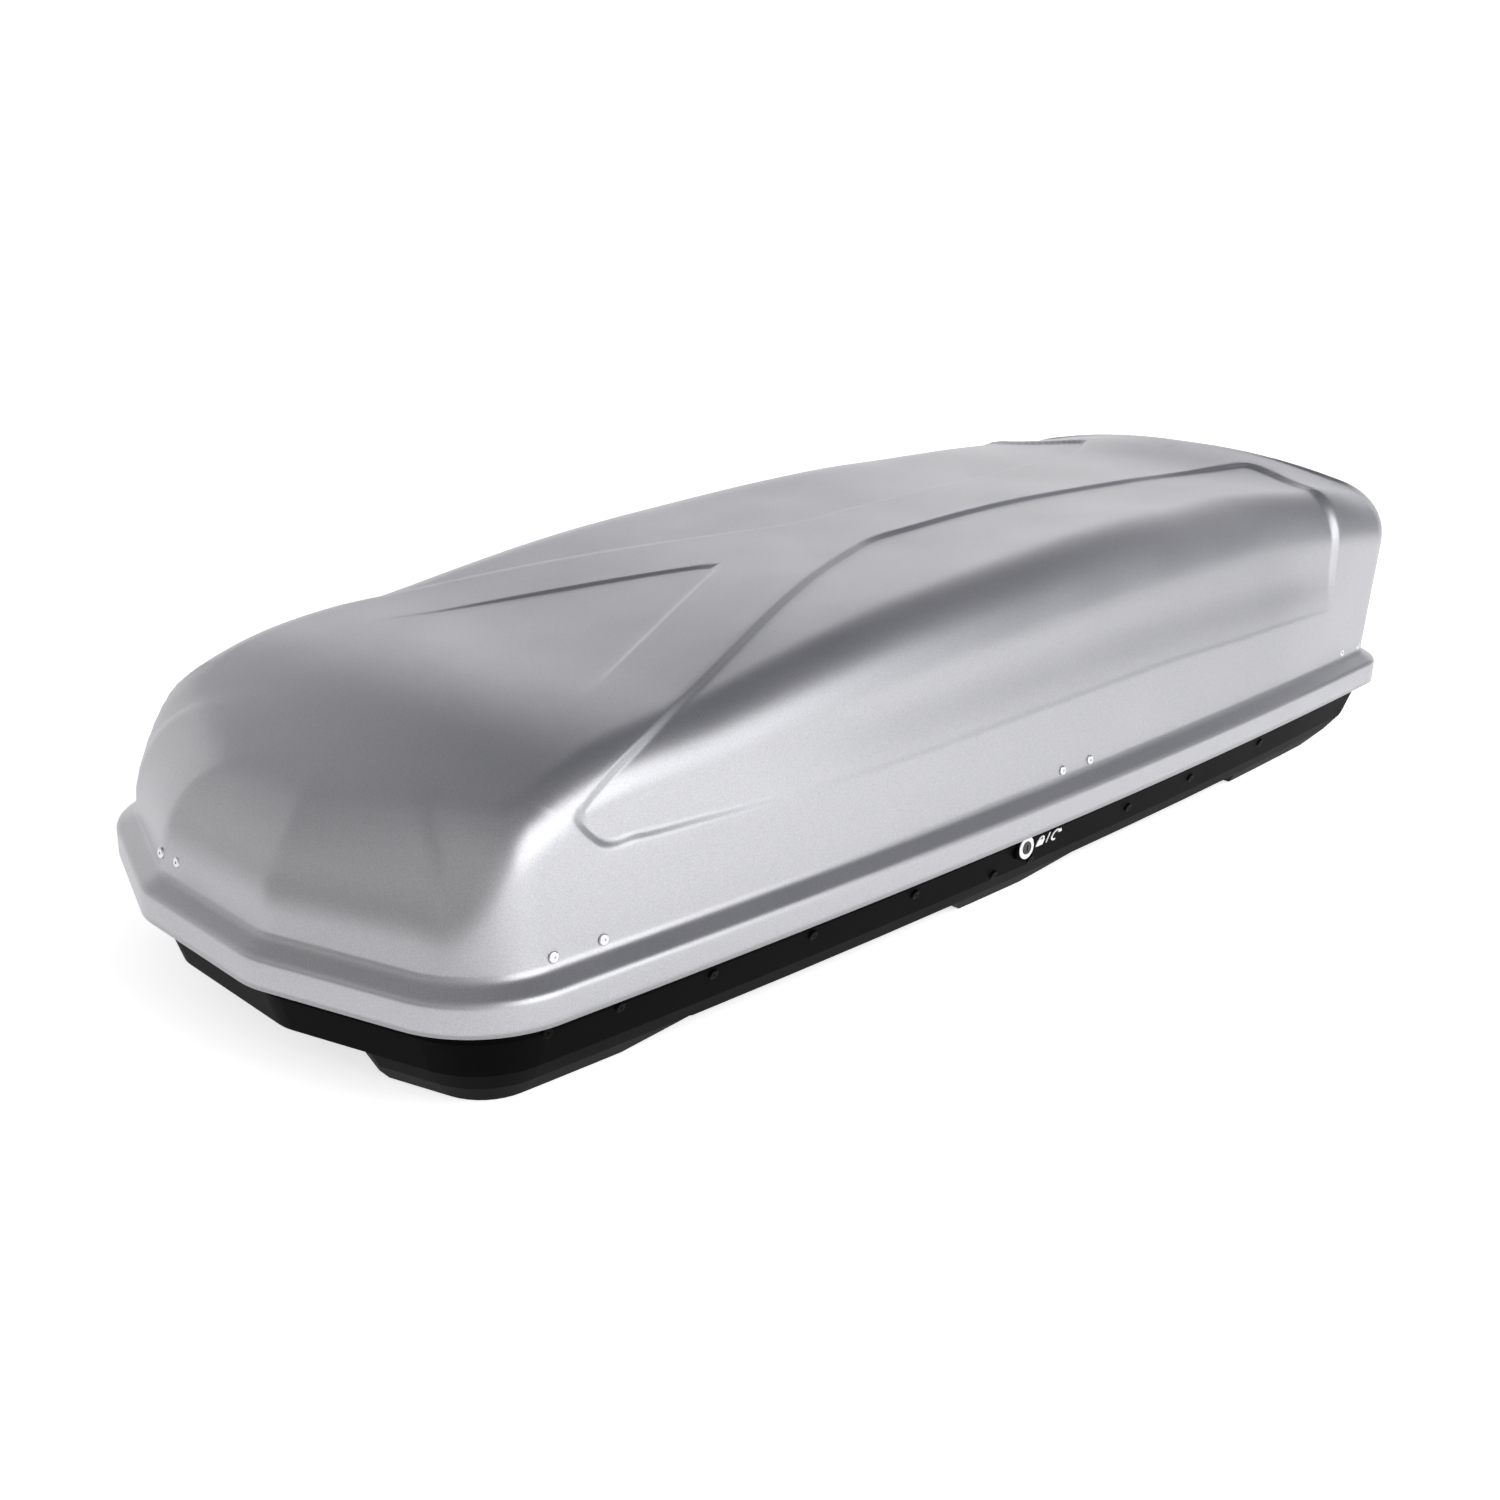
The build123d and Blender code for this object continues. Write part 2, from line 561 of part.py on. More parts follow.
def claw(x, y, side):
    """Hooked claw on its trunnion: an arm through the floor's slot and a tooth at its end."""
    rest = math.radians(CLAW_REST_DEG)
    along = Vector(side * math.cos(rest), 0, -math.sin(rest))
    inward = Vector(-side * math.sin(rest), 0, -math.cos(rest))
    pivot = Vector(x + side * CLAW_PIVOT[0], y, CLAW_PIVOT[1])

    def corner(reach, depth):
        place = pivot + along * reach + inward * depth
        return place.X, place.Z

    t = CLAW_HALF_T
    outline = face_of([corner(0, -t), corner(CLAW_ARM + t, -t), corner(CLAW_ARM + t, CLAW_TOOTH),
                       corner(CLAW_ARM - t, CLAW_TOOTH), corner(CLAW_ARM - t, t), corner(0, t)])
    width = (y - CLAW_HALF_W, y + CLAW_HALF_W)
    body = across_y(outline, width) + rod_y(pivot.X, width, pivot.Z, 7.0)
    half_y = CLAMP_HALF[1]
    return body + rod_y(pivot.X, (y - half_y + 0.1, y + half_y - 0.1), pivot.Z, 4.0)


# Rivets ------------------------------------------------------------------------------------

def rivet(place, outward, grip):
    """Pop rivet: domed head with its small centre hole, and a shank through the plates."""
    plane = Plane(origin=place, z_dir=outward)
    head = Pos(0, 0, 0) * Cylinder(6.0, 2.2, align=(Align.CENTER, Align.CENTER, Align.MIN))
    head = fillet(head.edges().sort_by(Axis.Z)[-1], 1.6)
    shank = Cylinder(2.4, grip, align=(Align.CENTER, Align.CENTER, Align.MAX))
    hole = Pos(0, 0, 1.2) * Cylinder(1.5, 3.0, align=(Align.CENTER, Align.CENTER, Align.MIN))
    return plane * (head + shank - hole)


def lid_wall_rivet(distance, side):
    """Rivet on the side wall of the lid, square to its lean."""
    lean = WALL_LEAN * (RIVET_Z - LEDGE_Z)
    y = side_y(distance) - LEDGE_IN - lean + 0.2
    return rivet((station(distance), side * y, RIVET_Z), (0, side, WALL_LEAN), 9.0)


def end_wall_rivet(wall_x, y, z, side):
    return rivet((wall_x, y, z), (side, 0, WALL_LEAN), 9.0)


def lid_rivets():
    rivets = []
    for distance in HINGE_STATIONS.values():
        for step in (-0.5, 0.5):
            for side in (1, -1):
                rivets.append(lid_wall_rivet(distance + step * RIVET_PITCH, side))
    head_y, head_z = STRUT_HEAD
    for step in (-17.0, 17.0):
        rivets.append(end_wall_rivet(station(25.7), head_y + step, head_z, 1))
        rivets.append(end_wall_rivet(station(1824.3), head_y + step, head_z, -1))
    return Compound(children=rivets)


# Rivets of the lock side's wall: station and height above the skirt's lower edge
BASE_RIVETS = ((174.0, -19.0), (261.0, -22.0), (382.0, -27.0), (525.0, -28.0), (691.0, -30.0),
               (846.0, -53.0), (919.0, -53.0), (1126.0, -38.0), (1282.0, -36.0), (1476.0, -31.0))


def tub_inset(height):
    """Inset of the tub's outer face at a height between its two upper breaks."""
    (high, start), (low, end) = TUB_WALL[1:3]
    share = min(max((high - height) / (high - low), 0.0), 1.0)
    return start + share * (end - start)


def base_rivets():
    rivets = []
    lean = (TUB_WALL[2][1] - TUB_WALL[1][1]) / (TUB_WALL[1][0] - TUB_WALL[2][0])
    leaf_rivets = [(distance + step, -9.0) for distance in HINGE_STATIONS.values() for step in (-26.0, 26.0)]
    for side, places in ((1, BASE_RIVETS), (-1, leaf_rivets)):
        for distance, height in places:
            tilt = lean if height < TUB_WALL[1][0] else 0.0
            y = side_y(distance) - tub_inset(height) + 0.3
            place = (station(distance), side * y, RIM_Z + height)
            rivets.append(rivet(place, (0, side, -tilt), 5.5 if side > 0 else 8.5))
    return Compound(children=rivets)


# Assembly ----------------------------------------------------------------------------------

def all_parts():
    parts = {"lid_shell": lid_shell(), "base_shell": base_shell()}
    parts["lid_rivets"] = lid_rivets()
    parts["base_rivets"] = base_rivets()
    for name, distance in HINGE_STATIONS.items():
        parts[f"hinge_base_leaf_{name}"] = hinge_base_leaf(distance)
        parts[f"hinge_pin_{name}"] = hinge_pin(distance)
        parts[f"hinge_lid_strap_{name}"] = hinge_lid_strap(distance)
        parts[f"striker_{name}"] = striker(distance)
        parts[f"lock_hook_{name}"] = lock_hook(distance)
    for name in STRUT_STATIONS:
        parts[f"strut_tube_{name}"] = strut_tube(name)
        parts[f"strut_rod_{name}"] = strut_rod(name)
        parts[f"strut_base_bracket_{name}"] = strut_base_bracket(name)
        parts[f"strut_lid_bracket_{name}"] = strut_lid_bracket(name)
    parts["lock_rail"] = lock_rail()
    parts["lock_drive_plate"] = lock_drive_plate()
    parts["lock_crank"] = lock_crank()
    parts["lock_barrel"] = lock_barrel()
    parts["lock_sleeve"] = lock_sleeve()
    parts["lock_bezel"] = lock_bezel()
    for number, distance in enumerate(GUIDE_STATIONS, 1):
        parts[f"rail_guide_{number}"] = rail_guide(distance)
    for number, (x, y) in enumerate(clamp_places(), 1):
        parts[f"clamp_housing_{number}"] = clamp_housing(x, y)
        parts[f"clamp_knob_{number}"] = clamp_knob(x, y)
        parts[f"claw_fore_{number}"] = claw(x, y, 1)
        parts[f"claw_aft_{number}"] = claw(x, y, -1)
    return parts


os.makedirs("parts", exist_ok=True)
for node, shape in all_parts().items():
    export_step(shape, f"parts/{node}.step")
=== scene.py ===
"""Roof cargo box: grained silver lid over a black base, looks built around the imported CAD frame.

Shapes are worked out in millimetres. A station is the distance back from the tip of the nose, and
a height is measured from the lower edge of the lid's skirt, unless a name says otherwise.
"""
import bmesh
import bpy
import json
import math
import numpy as np
from mathutils import Matrix, Vector


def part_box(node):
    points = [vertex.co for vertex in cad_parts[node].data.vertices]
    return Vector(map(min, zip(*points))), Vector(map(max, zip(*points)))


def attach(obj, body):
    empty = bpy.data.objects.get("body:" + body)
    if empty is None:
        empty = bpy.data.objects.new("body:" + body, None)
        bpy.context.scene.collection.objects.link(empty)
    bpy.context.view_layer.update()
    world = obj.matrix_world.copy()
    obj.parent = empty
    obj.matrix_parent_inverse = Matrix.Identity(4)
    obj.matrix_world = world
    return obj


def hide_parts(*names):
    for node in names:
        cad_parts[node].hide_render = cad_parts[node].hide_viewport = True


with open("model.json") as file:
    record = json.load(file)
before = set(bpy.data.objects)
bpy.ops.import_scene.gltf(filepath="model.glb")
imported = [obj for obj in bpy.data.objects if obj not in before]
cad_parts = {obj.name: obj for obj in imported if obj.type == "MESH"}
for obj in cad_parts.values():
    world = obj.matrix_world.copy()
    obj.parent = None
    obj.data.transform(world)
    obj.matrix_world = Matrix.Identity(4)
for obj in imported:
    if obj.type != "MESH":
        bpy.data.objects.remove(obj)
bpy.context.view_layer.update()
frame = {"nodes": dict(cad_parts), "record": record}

MM = 0.001
LID_LOW, LID_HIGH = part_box("lid_shell")
LENGTH = (LID_HIGH.x - LID_LOW.x) / MM
NOSE_X = LID_HIGH.x / MM
RIM_Z = LID_LOW.z / MM

# Plan outline of the skirt
NOSE_HALF = 106.0
CHEEK_STATION = 84.7
CHEEK_Y = 360.8
SIDE_BOW = 64.84
SIDE_FALL = 35.97
NOSE_R = 100.0
CHEEK_R = 130.0
REAR_R = 80.0

# Skirt, ledge and wall
LID_T = 3.5
SKIRT_H = 33.0
SKIRT_R = 9.0
LEDGE_IN = 23.0
LEDGE_TOP = 46.0
FOOT_R = 12.0
SIDE_LEAN = 0.139
NOSE_LEAN = 0.05
TAIL_LEAN = -0.05
TAIL_BLEND = (1450.0, 1790.0)
LOWEST_WALL = 6.0
ROOF_EASE = 40.0

# Radius between wall and roof: along the sides, over the nose and over the tail
SIDE_SHOULDER = ((0, 66), (225, 54.5), (500, 69.5), (950, 86.5), (1500, 84.6), (1900, 69.5))
NOSE_SHOULDER = 123.0
CHEEK_EXTRA = 25.0
TAIL_SHOULDER = 66.0

# Centre line of the roof: station and height
ROOF_LINE = ((-60, 100), (0, 125), (115, 172.5), (235, 223), (435, 249.5), (735, 285),
             (917, 296.5), (1200, 309.5), (1467, 311.5), (1650, 313.5), (1750, 328), (1800, 332.5),
             (1900, 338))
# How fast the roof falls to the sides, in millionths of the half width squared; negative is a valley
ROOF_FALL = ((-60, 94), (225, 94), (700, -85), (1300, -150), (1650, 80), (1780, 463), (1900, 463))

# Recessed side panels: depth, corner radius and half width of the step down
PANEL_DEEP = 5.0
PANEL_ROUND = 5.0
STEP_HALF = 5.0
PANEL_START = 226.0
# Their lower edge dies away: between which stations, by what share and up to what height above it
PANEL_FADE = (270.0, 620.0)
FADE_SHARE = 0.85
FADE_BAND = 65.0
# Half width of the raised middle between them, and height of their lower edge, by station
PANEL_INNER = ((150, 345), (226, 328), (272, 320), (337, 304), (422, 271), (865, 88), (925, 69),
               (1031, 66), (1467, 88), (1640, 112), (1740, 152), (1900, 200))
PANEL_LOWER = ((180, 215), (226, 172), (249, 149), (296, 143), (371, 140), (597, 135), (952, 141),
               (1219, 143), (1433, 137), (1650, 135), (1900, 130))
# Station of their rear edge, by distance from the centre line
PANEL_REAR = ((0, 1740), (110, 1738), (156, 1728), (200, 1712), (246, 1690), (287, 1670),
              (325, 1656), (345, 1650), (400, 1650))

# Arrow crease on the hood: station of its tip, half width for each millimetre ahead of it, depth
ARROW_STATION = 733.0
ARROW_SPREAD = 0.50
ARROW_DEEP = 2.6
ARROW_ROUND = 13.0
ARROW_FADE = (330.0, 560.0)

# Ribs of the lid's mesh: pitch, how far in they stay square to the outline, straight and then curved
RIB_PITCH = 7.5
RIB_SQUARE = 62.0
RIB_BLEND = (30.0, 90.0)
# Lengths of outline whose ribs fan out over nose and tail, and where the first and last rib end
NOSE_SWEEP = 760.0
TAIL_SWEEP = 660.0
FIRST_MEETING = 210.0
LAST_MEETING = LENGTH - 120.0
# Intervals along a rib: skirt, foot, wall, then each line of the lid and the stretch after it
RIB_INTERVALS = (3, 17, 12, 5, 30, 5, 12, 5, 8)
LINE_HALF = 6.0
# Least distance of each line from the one before it and from the rib's end
LINE_ROOM = {"lower": (25.0, 80.0), "inner": (24.0, 44.0), "arrow": (20.0, 16.0)}
SKIRT_TOP = SKIRT_H - 5.2
FOOT_TOP = 52.0
INNER_STEP = 3
WELD = 0.00005


def side_y(distance):
    """Half width of the skirt along the sides, by distance from the nose's tip."""
    metres = (distance - CHEEK_STATION) / 1000
    return CHEEK_Y + SIDE_BOW * metres - SIDE_FALL * metres ** 2


def smooth(edge0, edge1, value):
    """Smooth step from 0 to 1 between two edges."""
    share = np.clip((value - edge0) / (edge1 - edge0), 0.0, 1.0)
    return share * share * (3 - 2 * share)


def corner_arc(corner, before, after, radius, count):
    """Points of a round corner between two directions that point away from it."""
    corner, before, after = (np.array(v, float) for v in (corner, before, after))
    before = before / np.linalg.norm(before)
    after = after / np.linalg.norm(after)
    half = math.acos(float(np.clip(before @ after, -1, 1))) / 2
    reach = radius / math.tan(half)
    weight = math.sin(half)
    t = np.linspace(0, 1, count)[:, None]
    start, end = corner + before * reach, corner + after * reach
    scale = (1 - t) ** 2 + 2 * t * (1 - t) * weight + t ** 2
    return ((1 - t) ** 2 * start + 2 * t * (1 - t) * weight * corner + t ** 2 * end) / scale


def resampled(points, spacings):
    """Points along a polyline, at the spacing that a function of the point asks for."""
    steps = np.linalg.norm(np.diff(points, axis=0), axis=1)
    length = np.concatenate([[0], np.cumsum(steps)])
    density = np.array([1 / spacings(p) for p in points])
    count = np.concatenate([[0], np.cumsum((density[1:] + density[:-1]) / 2 * steps)])
    wanted = np.linspace(0, count[-1], int(round(count[-1])) + 1)
    at = np.interp(wanted, count, length)
    return np.stack([np.interp(at, length, points[:, k]) for k in (0, 1)], 1), at


def half_outline():
    """Half of the skirt's plan outline, (station, y), from the nose's middle to the rear's."""
    slope_front = SIDE_BOW / 1000
    slope_rear = (SIDE_BOW - 2 * SIDE_FALL * (LENGTH - CHEEK_STATION) / 1000) / 1000
    rear_y = side_y(LENGTH)
    cheek = np.array([CHEEK_STATION, CHEEK_Y - NOSE_HALF])
    nose_arc = corner_arc((0, NOSE_HALF), (0, -1), cheek, NOSE_R, 12)
    cheek_arc = corner_arc((CHEEK_STATION, CHEEK_Y), -cheek, (1, slope_front), CHEEK_R, 40)
    rear_arc = corner_arc((LENGTH, rear_y), (-1, -slope_rear), (0, -1), REAR_R, 40)
    stations = np.linspace(cheek_arc[-1][0] + 20, rear_arc[0][0] - 20, 120)
    side = np.stack([stations, side_y(stations)], 1)
    return np.concatenate([[[0, 0]], nose_arc, cheek_arc, side, rear_arc, [[LENGTH, 0]]])


def rib_spacing(point):
    """Ribs stand closer where the panels begin and end."""
    station = point[0]
    near_tip = math.exp(-((station - 255) / 60) ** 2)
    near_rear = math.exp(-((station - 1740) / 70) ** 2)
    return RIB_PITCH - 3.5 * near_tip - 4.5 * near_rear


def hermite(t, start, end, start_rise, end_rise):
    """Cubic from start to end with given rises at its ends, t from 0 to 1."""
    return ((2 * t ** 3 - 3 * t ** 2 + 1) * start + (t ** 3 - 2 * t ** 2 + t) * start_rise
            + (3 * t ** 2 - 2 * t ** 3) * end + (t ** 3 - t ** 2) * end_rise)


def curve(knots, x):
    """Smooth curve through a few given points."""
    knots = np.array(knots, float)
    xs, ys = knots[:, 0], knots[:, 1]
    steps = np.diff(xs)
    slopes = np.diff(ys) / steps
    tangents = np.zeros_like(ys)
    tangents[1:-1] = (slopes[:-1] * steps[1:] + slopes[1:] * steps[:-1]) / (steps[1:] + steps[:-1])
    tangents[0], tangents[-1] = slopes[0], slopes[-1]
    k = np.clip(np.searchsorted(xs, x) - 1, 0, len(xs) - 2)
    t = (x - xs[k]) / steps[k]
    return hermite(t, ys[k], ys[k + 1], steps[k] * tangents[k], steps[k] * tangents[k + 1])


def roof_height(station, y):
    """Nearly flat roof before its ends and shoulders are rounded."""
    return curve(ROOF_LINE, station) - curve(ROOF_FALL, station) * 1e-6 * y ** 2


def shoulder_radius(station, y, normal_x):
    """Radius between wall and roof, at a point of the outline."""
    nose = NOSE_SHOULDER + CHEEK_EXTRA * min(abs(y) / CHEEK_Y, 1.0)
    front = float(smooth(0.25, 0.95, normal_x))
    back = float(smooth(0.2, 0.9, -normal_x))
    return curve(SIDE_SHOULDER, station) * (1 - front - back) + nose * front + TAIL_SHOULDER * back


def wall_lean(station, normal_x):
    """How far the wall leans in for each millimetre of height, at a point of the outline."""
    front = float(smooth(0.3, 1.0, normal_x))
    back = float(smooth(0.3, 1.0, -normal_x))
    side = SIDE_LEAN + (TAIL_LEAN - SIDE_LEAN) * float(smooth(*TAIL_BLEND, station))
    return side * (1 - front - back) + NOSE_LEAN * front + TAIL_LEAN * back


def rib_path(start, inward, end, count=240):
    """Plan path from the outline, square to it at first, to its end on the centre line."""
    run = np.linalg.norm(end - start)
    control = start + inward * min(run * 0.55, RIB_SQUARE)
    t = np.linspace(0, 1, count)[:, None]
    path = (1 - t) ** 2 * start + 2 * t * (1 - t) * control + t ** 2 * end
    length = np.concatenate([[0], np.cumsum(np.linalg.norm(np.diff(path, axis=0), axis=1))])
    return path, length


def centre_stations(outline, at):
    """Where each rib meets the centre line: spread over the nose and the tail."""
    back = at[-1] - TAIL_SWEEP
    front_station = np.interp(NOSE_SWEEP, at, outline[:, 0])
    back_station = np.interp(back, at, outline[:, 0])
    t = np.clip(at / NOSE_SWEEP, 0, 1)
    over_nose = hermite(t, FIRST_MEETING, front_station, NOSE_SWEEP * 0.12, NOSE_SWEEP)
    t = np.clip((at - back) / TAIL_SWEEP, 0, 1)
    over_tail = hermite(t, back_station, LAST_MEETING, TAIL_SWEEP * 0.7, TAIL_SWEEP * 0.08)
    stations = np.where(at < NOSE_SWEEP, over_nose, outline[:, 0])
    return np.where(at > back, over_tail, stations)


def lid_profile(start, inward, end):
    """One rib of the lid as dense points (station, y, height) from the skirt's edge to the centre line."""
    path, length = rib_path(start, inward, end)

    def on_path(w):
        return np.stack([np.interp(w, length, path[:, k]) for k in (0, 1)], -1)

    def roof(w):
        place = on_path(w)
        return roof_height(place[..., 0], place[..., 1])

    lean = wall_lean(start[0], inward[0])
    meet = LEDGE_IN + 20.0
    for _ in range(8):
        meet = LEDGE_IN + lean * (float(roof(np.array(meet))) - LEDGE_TOP)
    top = float(roof(np.array(meet)))
    slope = float(roof(np.array(meet + ROOF_EASE)) - roof(np.array(meet))) / ROOF_EASE
    wall_down = np.array([-lean, -1.0]) / math.hypot(lean, 1.0)
    roof_in = np.array([1.0, slope]) / math.hypot(1.0, slope)
    convex = corner_arc((0, SKIRT_H), (0, -1), (LEDGE_IN, LEDGE_TOP - SKIRT_H), SKIRT_R, 8)
    concave = corner_arc((LEDGE_IN, LEDGE_TOP), (-LEDGE_IN, SKIRT_H - LEDGE_TOP), -wall_down, FOOT_R, 10)
    room = math.hypot(meet - concave[-1][0], top - concave[-1][1]) - LOWEST_WALL
    widest = room * math.tan(math.acos(float(wall_down @ roof_in)) / 2)
    radius = min(shoulder_radius(start[0], start[1], inward[0]), widest)
    shoulder = corner_arc((meet, top), wall_down, roof_in, radius, 60)
    flat = np.linspace(shoulder[-1][0], length[-1], 160)[1:]
    fade = np.exp(-(flat - flat[0]) / ROOF_EASE)
    drift = shoulder[-1][1] - float(roof(np.array(shoulder[-1][0])))
    roof_part = np.stack([flat, roof(flat) + drift * fade], 1)
    wall = np.linspace(concave[-1], shoulder[0], 60)[1:-1]
    profile = np.concatenate([[[0.0, 0.0]], convex, concave, wall, shoulder, roof_part])
    w, z = profile[:, 0], profile[:, 1]
    straight = start + inward * w[:, None]
    mix = smooth(*RIB_BLEND, w)[:, None]
    return np.column_stack([straight * (1 - mix) + on_path(w) * mix, z])


def panel_lower(station):
    """Height of the side panel's lower edge."""
    return curve(PANEL_LOWER, station)


def panel_inner(station):
    """Half width of the raised middle: the V line and then the spine line."""
    return curve(PANEL_INNER, station)


def arrow_half(station):
    """Half width of the arrow on the hood."""
    return ARROW_SPREAD * (ARROW_STATION - station)


def crossing(values, length):
    """Length at which values first fall below zero, or None."""
    below = np.nonzero(values < 0)[0]
    if len(below) == 0 or below[0] == 0:
        return None
    k = below[0]
    share = values[k - 1] / (values[k - 1] - values[k])
    return length[k - 1] + share * (length[k] - length[k - 1])


def along(marks, counts):
    """Sample lengths: even between marks, with the given number of intervals."""
    parts = [np.linspace(a, b, n, endpoint=False) for a, b, n in zip(marks[:-1], marks[1:], counts)]
    return np.concatenate(parts + [[marks[-1]]])


def lid_marks(rib):
    """Lengths along a rib of the foot, the panel's lower line, its inner line, the arrow and the end."""
    length = np.concatenate([[0], np.cumsum(np.linalg.norm(np.diff(rib, axis=0), axis=1))])
    end = length[-1]
    foot = np.interp(FOOT_TOP, rib[:60, 2], length[:60])
    station, y, z = rib.T
    lower = crossing(panel_lower(station) - z, length)
    inner = crossing(y - panel_inner(station), length)
    arrow = crossing(y - arrow_half(station), length) if station[-1] < ARROW_STATION else None
    return length, end, foot, lower, inner, arrow


def filled(values):
    """Missing marks are filled in from the ribs on either side that have one."""
    known = [i for i, v in enumerate(values) if v is not None]
    return np.interp(range(len(values)), known, [values[i] for i in known])


def lid_grid():
    """Half of the lid's outer surface before its creases, as a grid of ribs (station, y, height)."""
    outline, at = resampled(half_outline(), rib_spacing)
    tangent = np.gradient(outline, at, axis=0)
    tangent /= np.linalg.norm(tangent, axis=1)[:, None]
    inward = np.stack([tangent[:, 1], -tangent[:, 0]], 1)
    inward[0] = (1, 0)
    inward[-1] = (-1, 0)
    ends = centre_stations(outline, at)
    ribs = [lid_profile(p, n, np.array([e, 0.0])) for p, n, e in zip(outline, inward, ends)]
    marks = [lid_marks(rib) for rib in ribs]
    share = {}
    for slot, line in enumerate(LINE_ROOM, start=3):
        share[line] = filled([m[slot] / m[1] if m[slot] is not None else None for m in marks])
    rows = []
    for k, (rib, mark) in enumerate(zip(ribs, marks)):
        length, end, foot = mark[:3]
        spots = [0, float(np.interp(SKIRT_TOP, rib[:12, 2], length[:12])), foot]
        place = foot
        for line, (after, before) in LINE_ROOM.items():
            place = min(max(share[line][k] * end, place + after), end - before)
            spots += [place - LINE_HALF, place + LINE_HALF]
        at_length = along(spots + [end], RIB_INTERVALS)
        rows.append(np.stack([np.interp(at_length, length, rib[:, c]) for c in range(3)], 1))
    return np.array(rows)


def grid_normals(grid):
    """Unit normals of a grid, pointing up."""
    du = np.gradient(grid, axis=0)
    dv = np.gradient(grid, axis=1)
    normal = np.cross(du, dv)
    size = np.linalg.norm(normal, axis=2, keepdims=True)
    normal = normal / np.maximum(size, 1e-9)
    return normal * (np.sign(normal[..., 2].mean()) or 1.0)


def surface_distance(field, grid):
    """A field turned into distance along the surface from where it is zero."""
    du, dv = np.gradient(grid, axis=0), np.gradient(grid, axis=1)
    fu, fv = np.gradient(field, axis=0), np.gradient(field, axis=1)
    guu, gvv, guv = (du * du).sum(2), (dv * dv).sum(2), (du * dv).sum(2)
    det = np.maximum(guu * gvv - guv ** 2, 1e-6)
    slope = (gvv * fu ** 2 - 2 * guv * fu * fv + guu * fv ** 2) / det
    return field / np.sqrt(np.clip(slope, 0.05, 4.0))


def soft_min(fields, radius):
    """Minimum of several distances, with corners rounded to about the radius."""
    total = sum(np.exp(-np.clip(f, -60, 200) / radius) for f in fields)
    return -radius * np.log(total)


def lid_creases(grid):
    """Side panels and arrow as displacement along the normal."""
    station, y, z = grid[..., 0], grid[..., 1], grid[..., 2]
    inner = surface_distance(y - panel_inner(station), grid)
    lower = surface_distance(z - panel_lower(station), grid)
    rear = curve(PANEL_REAR, y) - station
    inside = soft_min((inner, lower, rear), PANEL_ROUND)
    inside = np.where(station < PANEL_START - 40, -50.0, inside)
    low = 1 - smooth(0.0, FADE_BAND, z - panel_lower(station))
    depth = PANEL_DEEP * (1 - FADE_SHARE * low * smooth(*PANEL_FADE, station))
    panels = depth * smooth(-STEP_HALF, STEP_HALF, inside)
    across = (arrow_half(station) - y) / math.hypot(1.0, ARROW_SPREAD)
    within = soft_min((across, ARROW_STATION - station), ARROW_ROUND)
    arrow = ARROW_DEEP * smooth(*ARROW_FADE, station) * smooth(-4.0, 5.0, within)
    return -panels - arrow


def to_world(grid, sign):
    """Stations and heights in millimetres as points of the frame, on one side of the box."""
    world = np.empty_like(grid)
    world[..., 0] = (NOSE_X - grid[..., 0]) * MM
    world[..., 1] = sign * grid[..., 1] * MM
    world[..., 2] = (RIM_Z + grid[..., 2]) * MM
    return world


def grid_faces(index, flip):
    """Quads between neighbouring ribs."""
    a, b = index[:-1, :-1].ravel(), index[1:, :-1].ravel()
    c, d = index[1:, 1:].ravel(), index[:-1, 1:].ravel()
    quads = np.stack([a, b, c, d], 1)
    return quads[:, ::-1] if flip else quads


def closed_shell(outer, inner, name):
    """Mirrored shell: an outer and an inner half grid joined by a rim along their first columns."""
    points = []
    faces = []
    total = 0
    for sign in (1.0, -1.0):
        sheets = []
        for grid, inward in ((outer, False), (inner, True)):
            nu, nv = grid.shape[:2]
            index = np.arange(nu * nv).reshape(nu, nv) + total
            points.append(to_world(grid, sign).reshape(-1, 3))
            faces.append(grid_faces(index, inward != (sign < 0)))
            total += nu * nv
            sheets.append(index)
        rim = np.stack([sheets[0][:, 0], sheets[1][:, 0]], 1)
        a, b, c, d = rim[:-1, 0], rim[:-1, 1], rim[1:, 1], rim[1:, 0]
        quads = np.stack([a, b, c, d], 1)
        faces.append(quads[:, ::-1] if sign < 0 else quads)
    return mesh_object(name, np.concatenate(points), np.concatenate(faces), WELD)


def mesh_object(name, points, faces, weld=0.0, smooth_shading=True):
    """Mesh from points and faces; with a weld distance its doubles are joined and its faces turned out."""
    mesh = bpy.data.meshes.new(name)
    mesh.from_pydata(points.tolist(), [], [list(f) for f in faces])
    if weld:
        work = bmesh.new()
        work.from_mesh(mesh)
        bmesh.ops.remove_doubles(work, verts=work.verts, dist=weld)
        bmesh.ops.dissolve_degenerate(work, edges=work.edges, dist=weld)
        bmesh.ops.recalc_face_normals(work, faces=work.faces)
        work.to_mesh(mesh)
        work.free()
    mesh.validate()
    mesh.polygons.foreach_set("use_smooth", [smooth_shading] * len(mesh.polygons))
    obj = bpy.data.objects.new(name, mesh)
    bpy.context.scene.collection.objects.link(obj)
    return obj


def on_centre(grid):
    """Keep a half grid on its own side, with its ends on the centre line."""
    grid[..., 1] = np.maximum(grid[..., 1], 0)
    grid[:, -1, 1] = 0
    grid[0, :, 1] = 0
    grid[-1, :, 1] = 0


